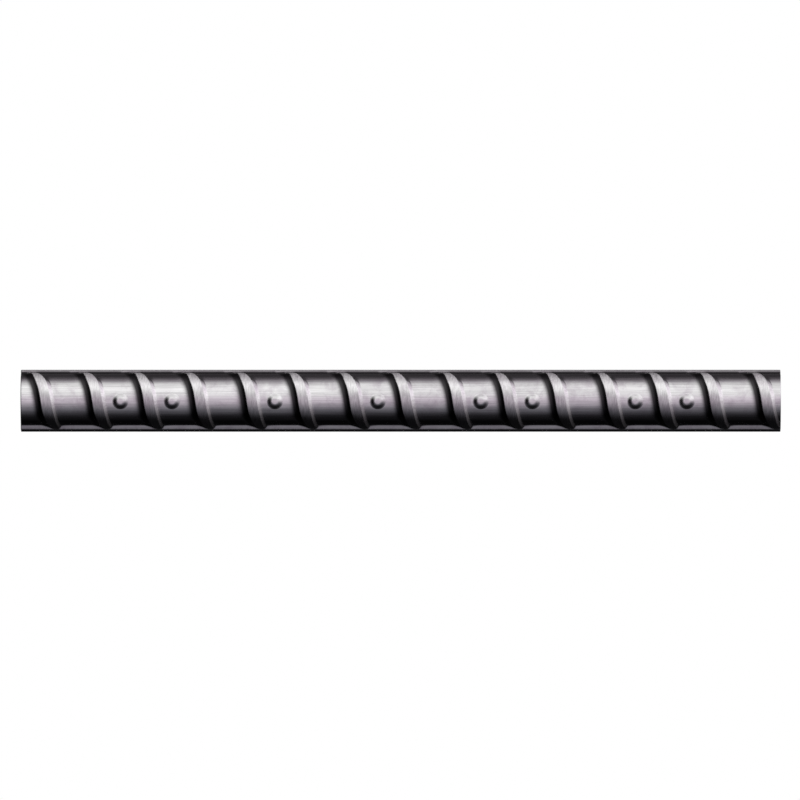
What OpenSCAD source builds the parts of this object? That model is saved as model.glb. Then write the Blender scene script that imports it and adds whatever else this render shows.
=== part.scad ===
// A short cut length of deformed reinforcing bar, lying along X.
//
// The bar is one rolled piece: a round barrel with two longitudinal ribs,
// opposite each other at the top and the bottom, where the two grooved rolls
// meet. Its ends are sawn square. The barrel here has the bar's nominal
// diameter, that of a plain bar with the same weight per metre, so it holds
// the steel of the low transverse ribs, which are a surface relief.
//
// Millimetres. X runs along the bar and Z is up. The origin is on the bar's
// axis, halfway along it.

/* [Bar] */

// Length of the cut piece, from one sawn end to the other
bar_length = 125; // [30:0.5:1000]
// Nominal diameter, that of a plain bar of the same weight per metre
nominal_d = 9.525; // [6:0.005:57.5]

/* [Longitudinal ribs] */

// Height of a longitudinal rib above the nominal barrel
rib_height = 0.31; // [0.1:0.01:2.6]
// Width of the flat land along the rib's crest
land_width = 1.5; // [0.5:0.1:4]
// Lean of each flank away from the rib's middle plane, in degrees
flank_lean = 30; // [0:1:45]
// Radius of the hollow fillet between a flank and the barrel, where the flank has room for it
root_fillet_r = 0.3; // [0.1:0.05:3]

/* [Hidden] */

// Segments on a full circle, for the preview; the solids are true cylinders
$fn = 96;
steel = [0.36, 0.34, 0.36];
barrel_r = nominal_d / 2;
crest_r = barrel_r + rib_height;
rib_angles = [0, 180];

// The right-hand flank, in a sketch with the rib pointing along +Y: its
// direction down from the corner of the land, its direction out of the
// steel, and how far its line lies from the bar's axis
land_corner = [land_width / 2, crest_r];
flank_down = [sin(flank_lean), -cos(flank_lean)];
flank_out = [cos(flank_lean), sin(flank_lean)];
flank_offset = land_corner * flank_out;

// The widest possible fillet would touch the flank at the corner of the land.
// A narrower one leaves a share of the flank straight.
straight_share = 0.1;
widest_fillet_r = (land_corner * land_corner - barrel_r * barrel_r) / (barrel_r - flank_offset) / 2;
fillet_r = min(root_fillet_r, (1 - straight_share) * widest_fillet_r);

// The fillet's circle is let into the flank and the barrel by a hair, so that
// it crosses each of them and doesn't only touch it. Its centre lies at one
// distance from both.
hair = 0.0002;
clearance = fillet_r - hair;
above_nearest = sqrt(pow(barrel_r + clearance, 2) - pow(flank_offset + clearance, 2));
fillet_centre = (flank_offset + clearance) * flank_out - above_nearest * flank_down;
flank_foot = fillet_centre - clearance * flank_out;

function mirrored(p) = [-p.x, p.y];

// One longitudinal rib in the section, pointing along +Y of the sketch
module rib_section() {
    right_side = [fillet_centre, flank_foot, land_corner];
    left_side = [for (i = [len(right_side) - 1 : -1 : 0]) mirrored(right_side[i])];
    difference() {
        polygon(concat([[0, 0]], right_side, left_side));
        for (centre = [fillet_centre, mirrored(fillet_centre)])
            translate(centre) circle(r = fillet_r);
    }
}

// The rolled section, with the sketch's +Y along the bar's +Z
module rolled_section() {
    circle(r = barrel_r);
    for (angle = rib_angles)
        rotate(angle) rib_section();
}

// The whole cut piece
module bar() {
    color(steel)
        rotate([90, 0, 90])
            linear_extrude(bar_length, center = true)
                rolled_section();
}

bar();
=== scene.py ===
"""The looks of a short cut length of deformed reinforcing bar.

The bar is built as one rolled mesh: a round barrel, the two longitudinal
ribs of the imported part, slanted transverse ribs on both halves, low round
marks between some of them, and a sawn face on each end. Lengths are in
metres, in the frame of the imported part: X along the bar, Z up, -Y the side
with the marks. An "elevation" is an angle round the bar's axis, from 0 at
-Y to a quarter turn at +Z.
"""

import math

import bmesh
import bpy
import numpy as np
from bpy.props import FloatProperty, FloatVectorProperty, PointerProperty
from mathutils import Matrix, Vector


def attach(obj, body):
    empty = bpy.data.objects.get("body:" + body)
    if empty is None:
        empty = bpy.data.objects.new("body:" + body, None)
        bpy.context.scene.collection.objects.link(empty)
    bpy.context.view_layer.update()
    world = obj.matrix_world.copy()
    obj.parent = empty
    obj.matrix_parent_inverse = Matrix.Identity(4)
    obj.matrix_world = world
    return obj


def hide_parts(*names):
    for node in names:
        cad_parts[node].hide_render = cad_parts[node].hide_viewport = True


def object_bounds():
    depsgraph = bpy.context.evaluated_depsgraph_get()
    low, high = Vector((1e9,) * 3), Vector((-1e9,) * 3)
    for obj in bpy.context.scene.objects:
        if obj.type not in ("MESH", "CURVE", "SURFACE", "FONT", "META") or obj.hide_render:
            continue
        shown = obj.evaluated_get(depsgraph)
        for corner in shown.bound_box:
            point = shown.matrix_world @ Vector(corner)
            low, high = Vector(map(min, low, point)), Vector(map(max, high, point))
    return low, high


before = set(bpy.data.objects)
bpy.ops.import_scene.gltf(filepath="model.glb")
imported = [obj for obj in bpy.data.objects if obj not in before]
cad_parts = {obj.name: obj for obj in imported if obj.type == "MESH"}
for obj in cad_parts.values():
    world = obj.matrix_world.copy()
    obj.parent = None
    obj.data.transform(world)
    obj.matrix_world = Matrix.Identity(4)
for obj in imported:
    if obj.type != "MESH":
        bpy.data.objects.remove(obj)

bl_info = {
    "name": "Deformed reinforcing bar",
    "version": (1, 0, 0),
    "blender": (4, 5, 0),
    "location": "3D View > Sidebar > Rebar",
    "description": "Builds a cut length of ribbed reinforcing bar and a studio round it",
    "category": "Object",
}

MM = 0.001
NODE = "bar"
BODY = "root"
CAD_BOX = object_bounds()
BAR_LENGTH = CAD_BOX[1].x - CAD_BOX[0].x
CREST_RADIUS = (CAD_BOX[1].z - CAD_BOX[0].z) / 2
QUARTER = math.pi / 2

# Panels between two ribs that carry a mark, counted from the first rib, and
# where the mark sits in its panel, as a share of the pitch
MARKED_PANELS = (1, 2, 4, 6, 8, 9, 11, 12)
MARK_PLACE = 0.45

# Masks stored on the mesh for the finish, the painted highlight and the painted shade
CREST, ROUGH_HIGHLIGHTED_END, PAINTED_SHADE = "crest", "rough_highlighted_end", "painted_shade"


# ---------------------------------------------------------------- settings


class BarShape(bpy.types.PropertyGroup):
    """Sizes of the rolled relief."""

    barrel_diameter: FloatProperty(
        name="Barrel diameter", description="Across the bare barrel between the ribs",
        default=9.04 * MM, unit="LENGTH")
    rib_pitch: FloatProperty(
        name="Rib pitch", description="From one transverse rib to the next along the bar",
        default=8.463 * MM, unit="LENGTH")
    first_rib: FloatProperty(
        name="First rib", description="From the left end to the first rib, on its middle elevation",
        default=4.15 * MM, unit="LENGTH")
    rib_height: FloatProperty(
        name="Rib height", description="Height of a transverse rib above the barrel",
        default=0.51 * MM, unit="LENGTH")
    crest_width: FloatProperty(
        name="Crest width", description="Width of the flat land along a transverse rib",
        default=1.52 * MM, unit="LENGTH")
    left_flank_width: FloatProperty(
        name="Left flank width", description="Width of the hollow flank on the rib's left side",
        default=2.5 * MM, unit="LENGTH")
    right_flank_width: FloatProperty(
        name="Right flank width", description="Width of the straighter flank on the rib's right side",
        default=0.68 * MM, unit="LENGTH")
    end_narrowing: FloatProperty(
        name="End narrowing", description="Share of its width that a land loses at its ends",
        default=0.45, subtype="FACTOR", min=0, max=1)
    end_lowering: FloatProperty(
        name="End lowering", description="Share of its height that a transverse rib loses at its upper end",
        default=0.8, subtype="FACTOR", min=0, max=1)
    slant_steady: FloatProperty(
        name="Steady slant", description="Shift of a rib along the bar for one radian round it",
        default=1.81 * MM, unit="LENGTH")
    slant_sway: FloatProperty(
        name="Slant sway", description="Sway that makes a rib steepest on the bar's open side",
        default=0.53 * MM, unit="LENGTH")
    slant_middle: FloatProperty(
        name="Slant middle", description="Elevation at which a rib runs most nearly straight round",
        default=math.radians(-15), unit="ROTATION")
    land_width: FloatProperty(
        name="Longitudinal land width", description="Width of the land on a longitudinal rib",
        default=1.5 * MM, unit="LENGTH")
    flank_lean: FloatProperty(
        name="Longitudinal flank lean", description="Lean of a longitudinal rib's flanks",
        default=math.radians(30), unit="ROTATION")
    mark_diameter: FloatProperty(
        name="Mark diameter", description="Across the foot of a rolled mark",
        default=2.9 * MM, unit="LENGTH")
    mark_height: FloatProperty(
        name="Mark height", description="Height of a rolled mark above the barrel",
        default=0.36 * MM, unit="LENGTH")
    edge_break: FloatProperty(
        name="Edge break", description="Rounding of the sawn ends' edge",
        default=0.15 * MM, unit="LENGTH")


class BarFinish(bpy.types.PropertyGroup):
    """Colours and strengths of the steel's finish."""

    steel_color: FloatVectorProperty(
        name="Steel", description="Brushed steel of the barrel", subtype="COLOR",
        size=3, min=0, max=1, default=(0.43, 0.425, 0.43))
    scale_color: FloatVectorProperty(
        name="Mill scale", description="Thin dark scale left by the rolling", subtype="COLOR",
        size=3, min=0, max=1, default=(0.30, 0.275, 0.30))
    # Painted shade for the ribs' left flanks and the roots of the longitudinal ribs, as dark as thick scale
    painted_shade_color: FloatVectorProperty(
        name="Dark scale", description="Thick scale kept on the hollow flanks of the ribs", subtype="COLOR",
        size=3, min=0, max=1, default=(0.03, 0.028, 0.03))
    sawn_color: FloatVectorProperty(
        name="Sawn steel", description="Bare steel of the sawn ends", subtype="COLOR",
        size=3, min=0, max=1, default=(0.50, 0.49, 0.48))


class StageSettings(bpy.types.PropertyGroup):
    """The floor, the light and the camera."""

    floor_color: FloatVectorProperty(
        name="Floor", description="Colour of the plain floor", subtype="COLOR",
        size=3, min=0, max=1, default=(0.78, 0.78, 0.78))
    light_strength: FloatProperty(
        name="Light strength", description="Strength of the overhead light that falls on the floor",
        default=2.3)
    camera_elevation: FloatProperty(
        name="Camera elevation", description="Elevation of the camera round the bar's axis",
        default=math.radians(-14), unit="ROTATION")
    camera_lens: FloatProperty(
        name="Lens", description="Focal length in millimetres", default=1000.0, unit="CAMERA")
    framing_shift: FloatVectorProperty(
        name="Framing shift", description="Lens shift across and up, as a share of the view's width",
        size=2, default=(-0.0009, 0.00096))
    view_width: FloatProperty(
        name="View width", description="Width of the view at the bar",
        default=131.65 * MM, unit="LENGTH")


# ------------------------------------------------------------- small maths


def smooth_step(low, high, value):
    """0 below low, 1 above high, and an even slope with soft ends between."""
    t = np.clip((value - low) / (high - low), 0, 1)
    return t * t * (3 - 2 * t)


def soft_max(a, b, blend):
    """The higher of a and b, with a hollow fillet where they meet."""
    near = np.maximum(blend - np.abs(a - b), 0) / blend
    return np.maximum(a, b) + near * near * blend / 4


def soft_min(a, b, blend):
    """The lower of a and b, with a rounded edge where they meet."""
    return -soft_max(-a, -b, blend)


def stations(*spans):
    """Positions along a line. Each span gives its start and its number of
    steps, and the last one gives the end alone."""
    starts = [start for start, _ in spans]
    steps = [
        np.linspace(start, end, count, endpoint=False)
        for (start, count), end in zip(spans, starts[1:])
    ]
    return np.concatenate(steps)


# ---------------------------------------------------------------- the shape


class RolledSurface:
    """The surface of the bar as its distance from the axis. It is the same on
    the front and back halves but for half a rib pitch."""

    # Size of the fillets at the roots of the longitudinal ribs. Where a
    # transverse rib rises by ROOT_CHANGE, the upper ones are as small as the
    # lower ones.
    LOWER_ROOT, UPPER_ROOT = 0.06 * MM, 0.24 * MM
    ROOT_CHANGE = 0.3 * MM

    # Size of the rounding along the edges of every crest
    CREST_EDGE = 0.06 * MM

    # How hollow a transverse rib's flanks are, 1 being straight, and the share
    # of its height by which its crest drops towards its edges
    LEFT_HOLLOW, RIGHT_HOLLOW = 3.2, 1.1
    CREST_CROWN = 0.06

    # Elevations between which a transverse rib gets narrower towards its upper
    # and its lower end, and between which its upper end gets lower
    UPPER_NARROWING = np.radians((22, 62))
    LOWER_NARROWING = np.radians((38, 82))
    LOWERING = np.radians((46, 72))

    # Share of a longitudinal land over which a rib's path is led across it
    CROSSING = 0.8

    # For the finish: the share of its height over which a transverse or a
    # longitudinal crest turns bare, how far a transverse rib clears the land
    # as it does, and the elevations over which its crest gets rougher and
    # gets a painted highlight
    CREST_SHARE = (0.84, 0.92)
    LAND_SHARE = (0.6, 0.95)
    CLEARING = (-0.02 * MM, 0.03 * MM)
    ROUGHER = np.radians((-12, 38))

    # Painted shade, as dark as thick scale, covers a left flank from this
    # share of its height. In the roots of the longitudinal ribs it begins at the
    # first angle from the middle of the land and ends at the second, each with
    # its own soft edge, and it gives way to a transverse rib by this share of
    # the rib's height.
    FLANK_SHADE_SHARE = 0.22
    UPPER_ROOT_SHADE = np.radians((9, 16))
    LOWER_ROOT_SHADE = np.radians((14, 28))
    ROOT_SHADE_EDGES = np.radians((4, 8))
    ROOT_SHADE_GIVES_WAY = 0.3
    ROOT_SHADE_STRENGTH = 0.8

    def __init__(self, shape):
        self.shape = shape
        self.barrel_radius = shape.barrel_diameter / 2
        corner = np.array([shape.land_width / 2, CREST_RADIUS])
        out = np.array([math.cos(shape.flank_lean), math.sin(shape.flank_lean)])
        self.flank_offset = corner @ out
        self.land_angle = math.atan2(*corner)

    def slant(self, elevation):
        """How far a rib's centre has moved along the bar at an elevation."""
        s = self.shape
        turn = elevation - s.slant_middle
        return s.slant_sway * np.sin(2 * turn) - s.slant_steady * turn

    def rib_path(self, elevation):
        """The slant, led over each longitudinal land to meet the ribs of the
        other half, a quarter pitch on."""
        ends = (self.slant(QUARTER) + self.slant(-QUARTER)) / 2
        crossing = ends - np.sign(elevation) * self.shape.rib_pitch / 4
        on_land = 1 - smooth_step(0, self.CROSSING * self.land_angle, QUARTER - np.abs(elevation))
        return self.slant(elevation) * (1 - on_land) + crossing * on_land

    def lean(self, elevation):
        """Angle between a rib and the plane square to the bar."""
        s = self.shape
        per_radian = 2 * s.slant_sway * np.cos(2 * (elevation - s.slant_middle)) - s.slant_steady
        return np.arctan2(per_radian, self.barrel_radius + s.rib_height)

    def to_end(self, elevation):
        """0 along most of a rib, rising to 1 at both of its ends."""
        upper = smooth_step(*self.UPPER_NARROWING, elevation)
        return upper + smooth_step(*self.LOWER_NARROWING, -elevation)

    def half_crest(self, elevation):
        """Half the width of a transverse rib's land."""
        s = self.shape
        return s.crest_width / 2 * (1 - s.end_narrowing * self.to_end(elevation))

    def height(self, elevation):
        """Height of a transverse rib above the barrel."""
        s = self.shape
        to_upper_end = smooth_step(*self.LOWERING, elevation)
        return s.rib_height * (1 - s.end_lowering * to_upper_end)

    def keep_to_crest(self, along, elevation):
        """Distances along the bar, drawn in or out beside a rib so that a
        column of the mesh stays on the edge of its crest."""
        s = self.shape
        widening = 2 * self.half_crest(elevation) / s.crest_width / np.cos(self.lean(elevation))
        beside = 1 - smooth_step(s.crest_width / 2, s.rib_pitch / 2, np.abs(along))
        return along * (1 + (widening - 1) * beside)

    def rib_relief(self, along, elevation):
        """Height of the transverse ribs, at a distance along the bar from the
        path of a rib's centre."""
        s = self.shape
        across = along * np.cos(self.lean(elevation))
        half_crest, height = self.half_crest(elevation), self.height(elevation)
        left = across < 0
        flank_width = np.where(left, s.left_flank_width, s.right_flank_width)
        hollow = np.where(left, self.LEFT_HOLLOW, self.RIGHT_HOLLOW)
        down_flank = (np.abs(across) - half_crest) / flank_width
        flank = height * np.maximum(1 - down_flank, 0) ** hollow
        crest = height * (1 - self.CREST_CROWN * (across / half_crest) ** 2)
        return np.maximum(soft_min(crest, flank, self.CREST_EDGE), 0)

    def longitudinal_radius(self, elevation):
        """Distance from the axis to the land and flanks of the nearer
        longitudinal rib."""
        from_land = QUARTER - np.abs(elevation)
        land = CREST_RADIUS / np.cos(from_land)
        flank = self.flank_offset / np.sin(from_land + self.shape.flank_lean)
        return soft_min(land, flank, self.CREST_EDGE)

    def radius(self, along, elevation):
        """Distance from the axis to the surface."""
        ribbed = self.barrel_radius + self.rib_relief(along, elevation)
        beside_ribs = 1 - smooth_step(0, self.ROOT_CHANGE, ribbed - self.barrel_radius)
        root = self.LOWER_ROOT + (self.UPPER_ROOT - self.LOWER_ROOT) * beside_ribs * (elevation > 0)
        return soft_max(self.longitudinal_radius(elevation), ribbed, root)

    def masks(self, along, elevation):
        """Where the finish changes: the bare crests, the rougher upper ends of
        the crests with a painted highlight that makes them paler, and the places
        of painted shade, as dark as thick scale, which are the hollow left flanks
        and the roots of the longitudinal ribs."""
        relief = self.rib_relief(along, elevation)
        share = relief / self.height(elevation)
        land = self.longitudinal_radius(elevation)
        above_land = smooth_step(*self.CLEARING, self.barrel_radius + relief - land)
        land_share = (land - self.barrel_radius) / (CREST_RADIUS - self.barrel_radius)
        on_crest = smooth_step(*self.CREST_SHARE, share)
        crest = np.maximum(on_crest * above_land, smooth_step(*self.LAND_SHARE, land_share))
        # The painted shade: the left flanks, and a band in the roots of the longitudinal ribs
        left_flank = smooth_step(0, self.FLANK_SHADE_SHARE, share) * (1 - on_crest)
        left_flank = left_flank * (along < 0) * above_land

        from_land = QUARTER - np.abs(elevation)
        near, far = self.UPPER_ROOT_SHADE if elevation > 0 else self.LOWER_ROOT_SHADE
        near_edge, far_edge = self.ROOT_SHADE_EDGES
        root = smooth_step(near, near + near_edge, from_land)
        root = root * (1 - smooth_step(far, far + far_edge, from_land))
        root = root * (1 - smooth_step(0, self.ROOT_SHADE_GIVES_WAY, share))
        painted_shade = np.maximum(left_flank, self.ROOT_SHADE_STRENGTH * root)
        # A painted highlight and more roughness on the upper ends of the crests
        rough_highlighted_end = on_crest * above_land * smooth_step(*self.ROUGHER, elevation)
        return {CREST: crest, ROUGH_HIGHLIGHTED_END: rough_highlighted_end, PAINTED_SHADE: painted_shade}


def around(radius, elevation):
    """Y and Z at a distance from the axis and an elevation."""
    return -radius * np.cos(elevation), radius * np.sin(elevation)


def column_stations(shape):
    """Places along one rib pitch, from the rib's centre, close together
    where the surface bends."""
    half_crest = shape.crest_width / 2
    left_foot = -half_crest - shape.left_flank_width
    right_foot = half_crest + shape.right_flank_width
    edge = 0.14 * MM
    return stations(
        (-shape.rib_pitch / 2, 3), (left_foot - 2 * edge, 10), (-half_crest - edge, 5),
        (-half_crest + edge, 4), (half_crest - edge, 5), (half_crest + edge, 6),
        (right_foot + edge, 4), (shape.rib_pitch / 2, None))


def row_stations(surface):
    """Elevations of half a turn, close together on the longitudinal ribs."""
    land = surface.land_angle
    edge = math.radians(1.2)
    foot = land + math.radians(9)
    quarter = stations((0, 3), (land - edge, 5), (land + edge, 8), (foot, 20), (QUARTER, None))
    lower = quarter - QUARTER
    upper = QUARTER - quarter[::-1]
    return np.concatenate([lower, [0.0], upper[:-1]])


def rolled_grid(surface):
    """Corner points, faces and finish masks of the rolled surface, longer than the
    bar at both ends. The columns follow the ribs round the bar, and move one
    pitch along it in a turn."""
    shape = surface.shape
    pitch = shape.rib_pitch
    one_pitch = column_stations(shape)
    first = -BAR_LENGTH / 2 + shape.first_rib
    spare = 3
    pitches = np.arange(-spare, math.ceil(BAR_LENGTH / pitch) + spare)
    columns = (first + pitches[:, None] * pitch + one_pitch).ravel()
    along = np.tile(one_pitch, len(pitches))
    rows = row_stations(surface)

    points, finish = [], {CREST: [], ROUGH_HIGHLIGHTED_END: [], PAINTED_SHADE: []}
    for half in (0, 1):
        for elevation in rows:
            beside = surface.keep_to_crest(along, elevation)
            radius = surface.radius(beside, elevation)
            x = columns - along + beside + surface.rib_path(elevation) - half * pitch / 2
            y, z = around(radius, elevation + half * math.pi)
            points.append(np.stack([x, y, z], axis=1))
            for name, mask in surface.masks(beside, elevation).items():
                finish[name].append(np.broadcast_to(mask, x.shape))
    points = np.array(points)

    turn_rows, width = points.shape[:2]
    index = np.arange(turn_rows * width).reshape(turn_rows, width)
    here = index[:, :-1], index[:, 1:]
    above = np.roll(index, -1, axis=0)
    above[-1] = np.roll(above[-1], len(one_pitch))
    faces = np.stack([here[0], here[1], above[:, 1:], above[:, :-1]], axis=-1)
    whole = np.ones(faces.shape[:2], bool)
    whole[-1, :len(one_pitch)] = False
    return points.reshape(-1, 3), faces[whole], finish


def add_marks(bm, surface):
    """Low round marks on the barrel, in the middle of some of the panels."""
    shape = surface.shape
    foot = shape.mark_diameter / 2
    flat_top = 0.25 * foot
    ring_count, sides = 14, 36
    rings = foot * np.linspace(0, 1, ring_count)
    spin = np.linspace(0, 2 * math.pi, sides, endpoint=False)
    sink = 0.01 * MM
    for panel in MARKED_PANELS:
        middle = -BAR_LENGTH / 2 + shape.first_rib + (panel + MARK_PLACE) * shape.rib_pitch
        previous, centre = None, None
        for ring in rings:
            height = shape.mark_height * (1 - smooth_step(flat_top, foot, ring))
            radius = surface.barrel_radius + height - sink
            elevation = shape.slant_middle + ring * np.sin(spin) / surface.barrel_radius
            y, z = around(radius, elevation)
            x = middle + ring * np.cos(spin)
            if ring == 0:
                centre = bm.verts.new((x[0], y[0], z[0]))
                continue
            loop = [bm.verts.new(co) for co in zip(x, y, z)]
            for i in range(sides):
                j = (i + 1) % sides
                if previous is None:
                    bm.faces.new((centre, loop[i], loop[j]))
                else:
                    bm.faces.new((previous[i], loop[i], loop[j], previous[j]))
            previous = loop


def saw_end(bm, side, edge_break):
    """Cuts the bar off square, rounds its edge a little and closes it.
    side is -1 for the left end and 1 for the right one. The rim is taken in
    order round the axis, so that the mesh comes out the same on each run."""
    shoulder = side * (BAR_LENGTH / 2 - edge_break)
    merging, nearness = 1e-7, 1e-6
    bmesh.ops.bisect_plane(
        bm, geom=bm.verts[:] + bm.edges[:] + bm.faces[:], dist=merging,
        plane_co=(shoulder, 0, 0), plane_no=(side, 0, 0), clear_outer=True)
    rim = [v for v in bm.verts if v.is_boundary and abs(v.co.x - shoulder) < nearness]
    rim.sort(key=lambda v: math.atan2(v.co.z, v.co.y))
    steps, reach = 3, CREST_RADIUS
    for step in range(1, steps + 1):
        angle = QUARTER * step / steps
        new_reach = CREST_RADIUS - edge_break * (1 - math.cos(angle))
        x = shoulder + side * edge_break * math.sin(angle)
        inward = new_reach / reach
        ring = [bm.verts.new((x, v.co.y * inward, v.co.z * inward), v) for v in rim]
        for i in range(len(rim)):
            bm.faces.new((rim[i - 1], rim[i], ring[i], ring[i - 1])).smooth = True
        rim, reach = ring, new_reach
    middle = bm.verts.new((side * BAR_LENGTH / 2, 0, 0))
    for i in range(len(rim)):
        face = bm.faces.new((rim[i - 1], rim[i], middle))
        face.material_index = 1
        face.smooth = False


def bar_mesh(shape):
    """The whole bar: rolled surface, marks and sawn ends."""
    surface = RolledSurface(shape)
    points, faces, finish = rolled_grid(surface)
    mesh = bpy.data.meshes.new("rolled_bar")
    mesh.from_pydata(points.tolist(), [], faces.tolist())
    for name, mask in finish.items():
        values = np.array(mask, np.float32).ravel()
        mesh.attributes.new(name, "FLOAT", "POINT").data.foreach_set("value", values)
    bm = bmesh.new()
    bm.from_mesh(mesh)
    for face in bm.faces:
        face.smooth = True
    loose = [v for v in bm.verts if not v.link_faces]
    bmesh.ops.delete(bm, geom=loose, context="VERTS")
    for side in (-1, 1):
        saw_end(bm, side, shape.edge_break)
    add_marks(bm, surface)
    bmesh.ops.recalc_face_normals(bm, faces=bm.faces)
    bm.to_mesh(mesh)
    bm.free()
    return mesh


# ------------------------------------------------------------ node building


def put(tree, kind, inputs=None, **settings):
    """A new node with its settings, and its inputs set or linked."""
    node = tree.nodes.new(kind)
    for name, value in settings.items():
        setattr(node, name, value)
    for name, value in (inputs or {}).items():
        if isinstance(value, bpy.types.NodeSocket):
            tree.links.new(value, node.inputs[name])
        else:
            node.inputs[name].default_value = value
    return node


def math_node(tree, operation, *values):
    """The result of one Math node."""
    return put(tree, "ShaderNodeMath", dict(enumerate(values)), operation=operation).outputs[0]


def remap(tree, value, low, high, to_low=0.0, to_high=1.0):
    """value taken from low..high to to_low..to_high, with soft ends."""
    return put(tree, "ShaderNodeMapRange", {
        "Value": value, "From Min": low, "From Max": high, "To Min": to_low, "To Max": to_high,
    }, interpolation_type="SMOOTHSTEP").outputs["Result"]


# Sockets of the Mix node, which has a set of them for each kind of data
FIRST_COLOR, SECOND_COLOR, MIXED_COLOR = 6, 7, 2
FIRST_VALUE, SECOND_VALUE, MIXED_VALUE = 2, 3, 0


def blend_colors(tree, share, first, second, blend_type="MIX"):
    """first, going over to second as share rises."""
    first, second = (
        c if isinstance(c, bpy.types.NodeSocket) else (*c, 1.0) for c in (first, second))
    node = put(tree, "ShaderNodeMix", {0: share, FIRST_COLOR: first, SECOND_COLOR: second},
               data_type="RGBA", blend_type=blend_type)
    return node.outputs[MIXED_COLOR]


def blend_values(tree, share, first, second):
    """The same for plain values."""
    node = put(tree, "ShaderNodeMix", {0: share, FIRST_VALUE: first, SECOND_VALUE: second})
    return node.outputs[MIXED_VALUE]


def shaded(tree, color, shade):
    """color made lighter or darker by a factor."""
    grey = put(tree, "ShaderNodeCombineColor", {0: shade, 1: shade, 2: shade}).outputs[0]
    return blend_colors(tree, 1.0, color, grey, "MULTIPLY")


def new_group(name, inputs, outputs):
    """An empty shader node group with its sockets. An input is a socket type
    and a default, and an output is a type."""
    group = bpy.data.node_groups.new(name, "ShaderNodeTree")
    for label, (kind, default) in inputs.items():
        socket = group.interface.new_socket(label, in_out="INPUT", socket_type=kind)
        if default is not None:
            socket.default_value = default
    for label, kind in outputs.items():
        group.interface.new_socket(label, in_out="OUTPUT", socket_type=kind)
    given = group.nodes.new("NodeGroupInput").outputs
    result = group.nodes.new("NodeGroupOutput").inputs
    return group, given, result


def streaks_group():
    """Long thin streaks, as left by rolling, brushing or sawing. Stretch
    is how many streaks fit in a metre along each axis."""
    group, given, result = new_group(
        "streaks",
        {"Vector": ("NodeSocketVector", None), "Stretch": ("NodeSocketVector", (100, 5000, 5000)),
         "Contrast": ("NodeSocketFloat", 0.5)},
        {"Streak": "NodeSocketFloat"})
    stretched = put(group, "ShaderNodeVectorMath", {0: given["Vector"], 1: given["Stretch"]},
                    operation="MULTIPLY").outputs[0]
    noise = put(group, "ShaderNodeTexNoise",
                {"Vector": stretched, "Scale": 1.0, "Detail": 3.0, "Roughness": 0.6}).outputs["Fac"]
    centred = math_node(group, "SUBTRACT", noise, 0.5)
    scaled = math_node(group, "MULTIPLY", centred, given["Contrast"])
    group.links.new(math_node(group, "ADD", scaled, 0.5), result["Streak"])
    return group


def blotches_group():
    """Uneven patches, such as scale, stain or pits."""
    group, given, result = new_group(
        "blotches",
        {"Vector": ("NodeSocketVector", None), "Scale": ("NodeSocketFloat", 300.0),
         "Low": ("NodeSocketFloat", 0.4), "High": ("NodeSocketFloat", 0.65)},
        {"Mask": "NodeSocketFloat"})
    noise = put(group, "ShaderNodeTexNoise",
                {"Vector": given["Vector"], "Scale": given["Scale"], "Detail": 5.0,
                 "Roughness": 0.6, "Distortion": 0.4}).outputs["Fac"]
    group.links.new(remap(group, noise, given["Low"], given["High"]), result["Mask"])
    return group


def streaked(tree, streaks, place, stretch, contrast):
    """The streaks group placed in a material."""
    return put(tree, "ShaderNodeGroup", {
        "Vector": place, "Stretch": stretch, "Contrast": contrast}, node_tree=streaks).outputs[0]


def blotched(tree, blotches, place, scale, low, high):
    """The blotches group placed in a material."""
    return put(tree, "ShaderNodeGroup", {
        "Vector": place, "Scale": scale, "Low": low, "High": high}, node_tree=blotches).outputs[0]


def new_material(name):
    """A material with an empty node tree but for its output."""
    material = bpy.data.materials.new(name)
    material.use_nodes = True
    tree = material.node_tree
    tree.nodes.clear()
    return material, tree, tree.nodes.new("ShaderNodeOutputMaterial")


# ---------------------------------------------------------------- materials


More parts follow.
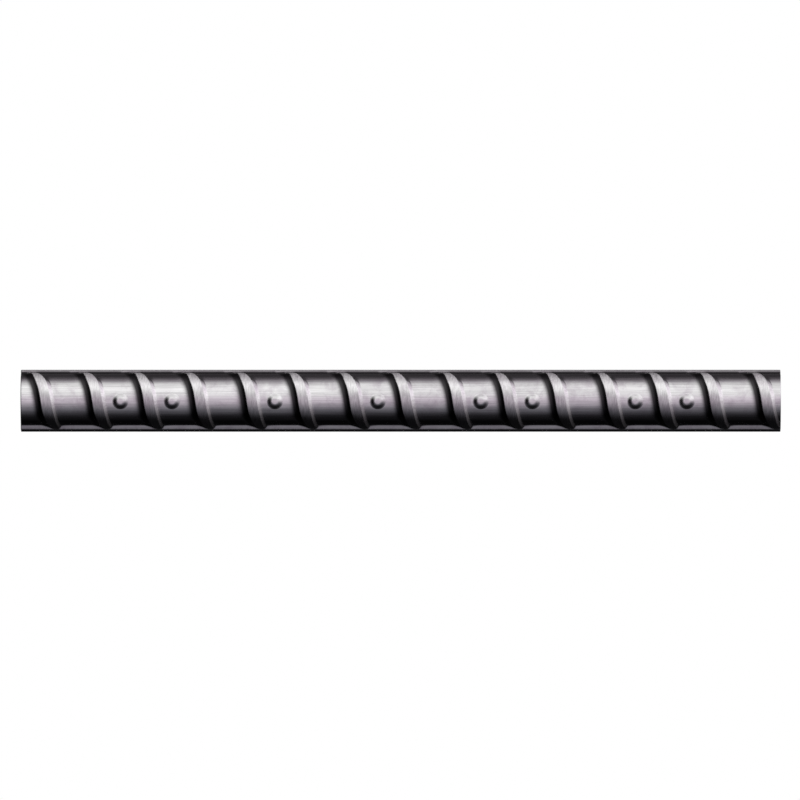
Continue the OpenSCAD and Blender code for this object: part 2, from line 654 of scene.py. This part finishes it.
def rolled_steel(finish, streaks, blotches):
    """Dark rolled steel: brushed along the barrel, grained along the ribs'
    lands, with thin scale, bare crests, a painted highlight on the crests'
    upper ends, and painted shade, as dark as thick scale, on the ribs' left
    flanks and in the roots of the longitudinal ribs."""
    material, tree, output = new_material("rolled_steel")
    place = put(tree, "ShaderNodeTexCoord").outputs["Object"]
    crest, rough_highlighted_end, painted_shade = (
        put(tree, "ShaderNodeAttribute", attribute_name=name).outputs["Fac"]
        for name in (CREST, ROUGH_HIGHLIGHTED_END, PAINTED_SHADE))

    brushing = streaked(tree, streaks, place, (110, 6500, 6500), 1.6)
    long_waves = streaked(tree, streaks, place, (45, 1900, 1900), 1.4)
    grain = streaked(tree, streaks, place, (7500, 900, 900), 1.5)
    barrel_streak = blend_values(tree, 0.45, brushing, long_waves)
    streak = blend_values(tree, crest, barrel_streak, grain)
    scale = blotched(tree, blotches, place, 420.0, 0.42, 0.7)
    stain = blotched(tree, blotches, place, 90.0, 0.38, 0.66)
    pits = blotched(tree, blotches, place, 4200.0, 0.62, 0.74)

    scaled = math_node(tree, "MULTIPLY", math_node(tree, "MULTIPLY_ADD", stain, 0.35, scale), 0.55)
    steel = blend_colors(tree, scaled, finish.steel_color, finish.scale_color)
    # Crests a little darker, and a painted highlight that lightens the upper ends of the crests
    crest_tone_and_highlight = math_node(tree, "MULTIPLY_ADD", crest, -0.27, 1.0)
    crest_tone_and_highlight = math_node(tree, "MULTIPLY_ADD", rough_highlighted_end, 0.75, crest_tone_and_highlight)
    shade = math_node(tree, "MULTIPLY", remap(tree, streak, 0.15, 0.85, 0.78, 1.16), crest_tone_and_highlight)
    steel = shaded(tree, steel, shade)
    # Painted shade: the left flanks and the roots of the longitudinal ribs turned almost black
    painted_shade_share = math_node(tree, "MULTIPLY", painted_shade, 0.97)
    color = blend_colors(tree, painted_shade_share, steel, finish.painted_shade_color)

    barrel_rough, crest_rough, upper_end_rough = 0.19, 0.22, 0.55
    rough = blend_values(tree, crest, barrel_rough, crest_rough)
    rough = blend_values(tree, math_node(tree, "POWER", rough_highlighted_end, 2.5), rough, upper_end_rough)
    rough = math_node(tree, "MULTIPLY_ADD", math_node(tree, "SUBTRACT", streak, 0.5), 0.12, rough)
    rough = math_node(tree, "MULTIPLY_ADD", scale, 0.06, rough)
    height = math_node(tree, "MULTIPLY_ADD", pits, -0.25, streak)
    bump = put(tree, "ShaderNodeBump", {"Height": height, "Strength": 0.3, "Distance": 0.008 * MM})
    shader = put(tree, "ShaderNodeBsdfPrincipled", {
        "Base Color": color, "Roughness": rough, "Metallic": 1.0,
        "Normal": bump.outputs[0]})
    tree.links.new(shader.outputs[0], output.inputs["Surface"])
    return material


def sawn_steel(finish, streaks, blotches):
    """Bare steel of the sawn ends, with the blade's lines across it."""
    material, tree, output = new_material("sawn_steel")
    place = put(tree, "ShaderNodeTexCoord").outputs["Object"]
    blade = (math.radians(24), 0, 0)
    turned = put(tree, "ShaderNodeMapping", {"Vector": place, "Rotation": blade}).outputs[0]
    lines = streaked(tree, streaks, turned, (100, 160, 5200), 2.0)
    bands = streaked(tree, streaks, turned, (100, 60, 900), 1.6)
    stain = blotched(tree, blotches, place, 320.0, 0.4, 0.7)
    cut = blend_values(tree, 0.4, lines, bands)
    stained = math_node(tree, "MULTIPLY", stain, 0.5)
    steel = blend_colors(tree, stained, finish.sawn_color, finish.scale_color)
    color = shaded(tree, steel, remap(tree, cut, 0.2, 0.8, 0.75, 1.15))
    rough = math_node(tree, "MULTIPLY_ADD", stain, 0.12, remap(tree, cut, 0.2, 0.8, 0.46, 0.34))
    bump = put(tree, "ShaderNodeBump", {"Height": cut, "Strength": 0.6, "Distance": 0.02 * MM})
    shader = put(tree, "ShaderNodeBsdfPrincipled", {
        "Base Color": color, "Roughness": rough, "Metallic": 0.9, "Normal": bump.outputs[0]})
    tree.links.new(shader.outputs[0], output.inputs["Surface"])
    return material


def floor_material(color):
    """A pale floor that shows from above only. It lets the steel's glossy
    reflections pass, so that they show the studio's own gradient."""
    material, tree, output = new_material("pale_floor")
    place = put(tree, "ShaderNodeTexCoord").outputs["Object"]
    mottle = put(tree, "ShaderNodeTexNoise", {"Vector": place, "Scale": 60.0, "Detail": 4.0}).outputs["Fac"]
    shader = put(tree, "ShaderNodeBsdfPrincipled", {
        "Base Color": (*color, 1.0), "Roughness": remap(tree, mottle, 0.3, 0.7, 0.65, 0.8),
        "Specular IOR Level": 0.2})
    clear = put(tree, "ShaderNodeBsdfTransparent")
    hidden = math_node(tree, "MAXIMUM", put(tree, "ShaderNodeNewGeometry").outputs["Backfacing"],
                       put(tree, "ShaderNodeLightPath").outputs["Is Glossy Ray"])
    mixed = put(tree, "ShaderNodeMixShader", {0: hidden, 1: shader.outputs[0], 2: clear.outputs[0]})
    tree.links.new(mixed.outputs[0], output.inputs["Surface"])
    return material


# The soft studio light by elevation in degrees, seen from the bar, with its
# brightness and tint: a wide soft source in front and above, a gap overhead,
# a paler back wall and a dark space below
COOL, MAUVE, NEUTRAL = (0.94, 0.92, 1.04), (1.0, 0.90, 1.0), (1.0, 1.0, 0.995)
STUDIO_LIGHT = (
    (-180, 0.02, COOL), (-90, 0.004, COOL), (-74, 0.035, COOL), (-60, 0.17, COOL),
    (-42, 0.38, COOL), (-22, 1.1, MAUVE), (-5, 1.45, MAUVE), (12, 1.65, NEUTRAL),
    (28, 2.05, NEUTRAL), (48, 1.95, NEUTRAL), (66, 1.35, NEUTRAL), (76, 0.6, MAUVE),
    (86, 0.26, MAUVE), (100, 0.06, MAUVE), (138, 0.04, MAUVE), (157, 0.15, NEUTRAL),
    (165, 1.1, NEUTRAL), (174, 1.1, NEUTRAL), (179, 0.05, MAUVE),
)
STUDIO_PEAK = 2.5

# How far along X a direction points where the light fades out on the left,
# where it gives way to the side light on the right, and how much of it is lost
# there. Then how high a direction points where the side light grows, and its peak.
LEFT_FADE, RIGHT_FADE, RIGHT_LOSS = (-0.78, -0.28), (0.35, 0.9), 0.75
SIDE_RISE, SIDE_PEAK, SIDE_COLOR = (-0.72, 0.8), 2.1, (1.0, 0.94, 1.0)

OVERHEAD_SPREAD = math.radians(50)
OVERHEAD_LEAN = (math.radians(18), math.radians(12), 0)


def studio_world():
    """White behind the bar, and round it the soft light's gradient, which
    fades to dark towards the left."""
    world = bpy.data.worlds.new("soft_studio")
    world.use_nodes = True
    tree = world.node_tree
    tree.nodes.clear()
    output = tree.nodes.new("ShaderNodeOutputWorld")
    toward = put(tree, "ShaderNodeSeparateXYZ", {
        0: put(tree, "ShaderNodeTexCoord").outputs["Generated"]}).outputs
    frontward = math_node(tree, "MULTIPLY", toward["Y"], -1.0)
    elevation = math_node(tree, "ARCTAN2", toward["Z"], frontward)
    turn = math_node(tree, "MULTIPLY_ADD", elevation, 0.5 / math.pi, 0.5)
    ramp = put(tree, "ShaderNodeValToRGB", {0: turn})
    ramp.color_ramp.interpolation = "B_SPLINE"
    elements = ramp.color_ramp.elements
    while len(elements) < len(STUDIO_LIGHT):
        elements.new(0.5)
    for element, (degrees, brightness, tint) in zip(elements, STUDIO_LIGHT):
        element.position = degrees / 360 + 0.5
        element.color = (*(brightness / STUDIO_PEAK * part for part in tint), 1.0)
    from_left = remap(tree, toward["X"], *LEFT_FADE)
    to_right = remap(tree, toward["X"], *RIGHT_FADE)
    kept = math_node(tree, "MULTIPLY_ADD", to_right, -RIGHT_LOSS, 1.0)
    front = math_node(tree, "MULTIPLY", from_left, kept)
    side_height = remap(tree, toward["Z"], *SIDE_RISE, 0.0, SIDE_PEAK)
    side = math_node(tree, "MULTIPLY", to_right, side_height)
    glow = put(tree, "ShaderNodeBackground", {
        "Color": ramp.outputs["Color"], "Strength": math_node(tree, "MULTIPLY", front, STUDIO_PEAK)})
    fill = put(tree, "ShaderNodeBackground", {"Color": (*SIDE_COLOR, 1.0), "Strength": side})
    studio = put(tree, "ShaderNodeAddShader", {0: glow.outputs[0], 1: fill.outputs[0]})
    white = put(tree, "ShaderNodeBackground", {"Color": (1, 1, 1, 1), "Strength": 1.0})
    mixed = put(tree, "ShaderNodeMixShader", {
        0: put(tree, "ShaderNodeLightPath").outputs["Is Camera Ray"],
        1: studio.outputs[0], 2: white.outputs[0]})
    tree.links.new(mixed.outputs[0], output.inputs["Surface"])
    return world


# ---------------------------------------------------------------- operators


def add_object(name, data):
    """A new object in the scene."""
    obj = bpy.data.objects.new(name, data)
    bpy.context.scene.collection.objects.link(obj)
    return obj


class REBAR_OT_add_bar(bpy.types.Operator):
    """Builds the rolled bar with its ribs, marks, sawn ends and finish"""

    bl_idname = "rebar.add_bar"
    bl_label = "Add bar"
    bl_options = {"REGISTER", "UNDO"}

    def execute(self, context):
        scene = context.scene
        bar = add_object("rolled_bar", bar_mesh(scene.rebar_shape))
        streaks, blotches = streaks_group(), blotches_group()
        for make in (rolled_steel, sawn_steel):
            bar.data.materials.append(make(scene.rebar_finish, streaks, blotches))
        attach(bar, BODY)
        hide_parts(NODE)
        return {"FINISHED"}


class REBAR_OT_add_stage(bpy.types.Operator):
    """Adds the pale floor, the soft light and the camera"""

    bl_idname = "rebar.add_stage"
    bl_label = "Add stage"
    bl_options = {"REGISTER", "UNDO"}

    def execute(self, context):
        scene = context.scene
        stage = scene.rebar_stage
        self.add_floor(stage)
        self.add_light(stage)
        scene.world = studio_world()
        scene.camera = self.add_camera(stage)
        scene.view_settings.view_transform = "Standard"
        return {"FINISHED"}

    def add_floor(self, stage):
        reach, ground = 6.0, CAD_BOX[0].z
        mesh = bpy.data.meshes.new("floor")
        around_origin = ((-1, -1), (1, -1), (1, 1), (-1, 1))
        corners = [(x * reach, y * reach, ground) for x, y in around_origin]
        mesh.from_pydata(corners, [], [(0, 1, 2, 3)])
        mesh.materials.append(floor_material(stage.floor_color))
        add_object("floor", mesh)

    def add_light(self, stage):
        data = bpy.data.lights.new("overhead_light", "SUN")
        data.energy = stage.light_strength
        data.angle = OVERHEAD_SPREAD
        light = add_object("overhead_light", data)
        light.rotation_euler = OVERHEAD_LEAN
        light.visible_glossy = False

    def add_camera(self, stage):
        data = bpy.data.cameras.new("camera")
        data.lens = stage.camera_lens
        camera = add_object("camera", data)
        distance = stage.camera_lens / data.sensor_width * stage.view_width
        y, z = around(distance, stage.camera_elevation)
        camera.location = (0, y, z)
        camera.rotation_euler = (QUARTER - stage.camera_elevation, 0, 0)
        data.shift_x, data.shift_y = stage.framing_shift
        data.clip_start, data.clip_end = distance * 0.1, distance * 10
        return camera


class REBAR_PT_panel(bpy.types.Panel):
    """Lists the settings and the operators"""

    bl_idname = "REBAR_PT_panel"
    bl_label = "Reinforcing bar"
    bl_space_type = "VIEW_3D"
    bl_region_type = "UI"
    bl_category = "Rebar"

    def draw(self, context):
        for settings, operator in ((("rebar_shape", "rebar_finish"), REBAR_OT_add_bar),
                                   (("rebar_stage",), REBAR_OT_add_stage)):
            box = self.layout.box()
            for name in settings:
                group = getattr(context.scene, name)
                for key in group.bl_rna.properties.keys():
                    if key not in {"rna_type", "name"}:
                        box.prop(group, key)
            box.operator(operator.bl_idname)


CLASSES = (BarShape, BarFinish, StageSettings, REBAR_OT_add_bar, REBAR_OT_add_stage, REBAR_PT_panel)
SETTINGS = {"rebar_shape": BarShape, "rebar_finish": BarFinish, "rebar_stage": StageSettings}


def register():
    for cls in CLASSES:
        bpy.utils.register_class(cls)
    for name, group in SETTINGS.items():
        setattr(bpy.types.Scene, name, PointerProperty(type=group))


def unregister():
    for name in SETTINGS:
        delattr(bpy.types.Scene, name)
    for cls in reversed(CLASSES):
        bpy.utils.unregister_class(cls)


def main():
    register()
    bpy.ops.rebar.add_bar()
    bpy.ops.rebar.add_stage()


if __name__ == "__main__":
    main()
